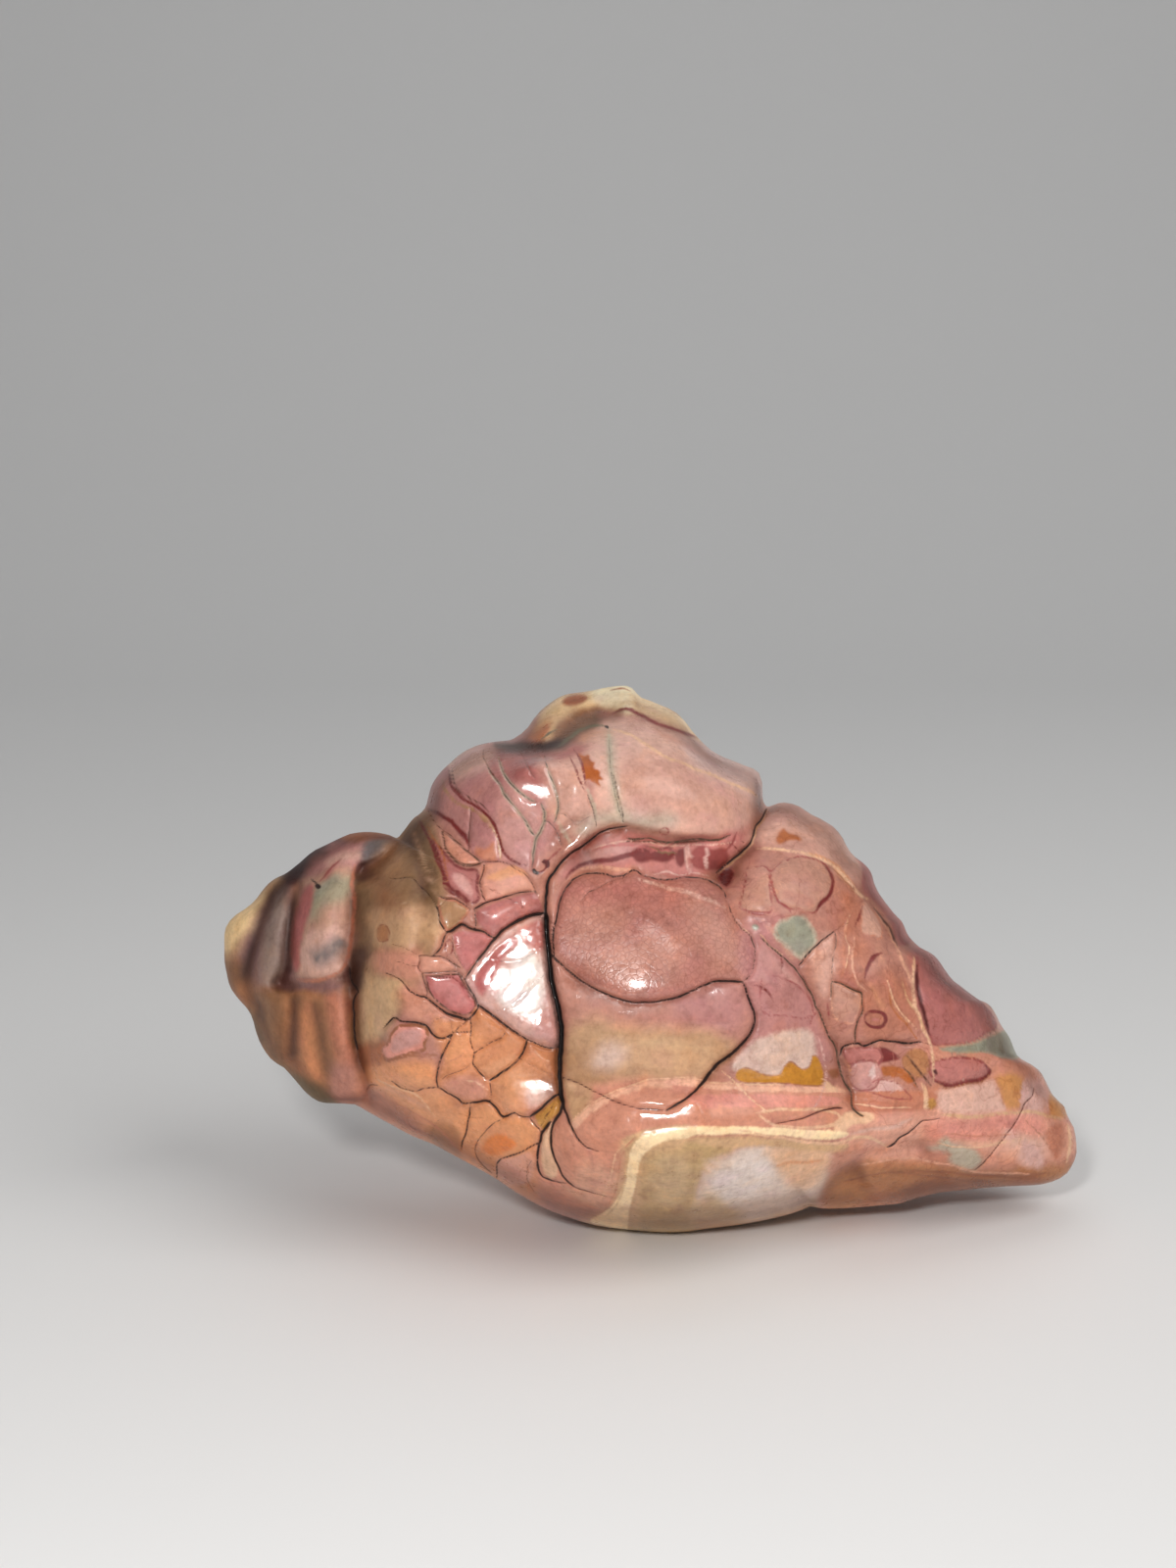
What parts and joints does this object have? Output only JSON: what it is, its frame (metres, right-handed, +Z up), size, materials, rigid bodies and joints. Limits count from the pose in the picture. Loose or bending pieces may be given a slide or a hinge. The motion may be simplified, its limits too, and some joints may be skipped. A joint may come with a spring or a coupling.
{
  "type": "gobi agate",
  "caption": "Glossy wind-polished desert agate pebble with crazed veins, warm pink and tan inclusions and a small flat resting spot.",
  "frame": {"origin": "on the small flat resting spot's plane, under the middle of the box", "axes": "+X to the tail along the stone's length, +Y away from the crazed show face, +Z up"},
  "size_m": [0.0772, 0.0346, 0.0475],
  "materials": {
    "agate": "glossy polished stone, veined pink, rose, salmon, tan and cream"
  },
  "bodies": {
    "root": {"agate": "agate"}
  },
  "joints": []
}
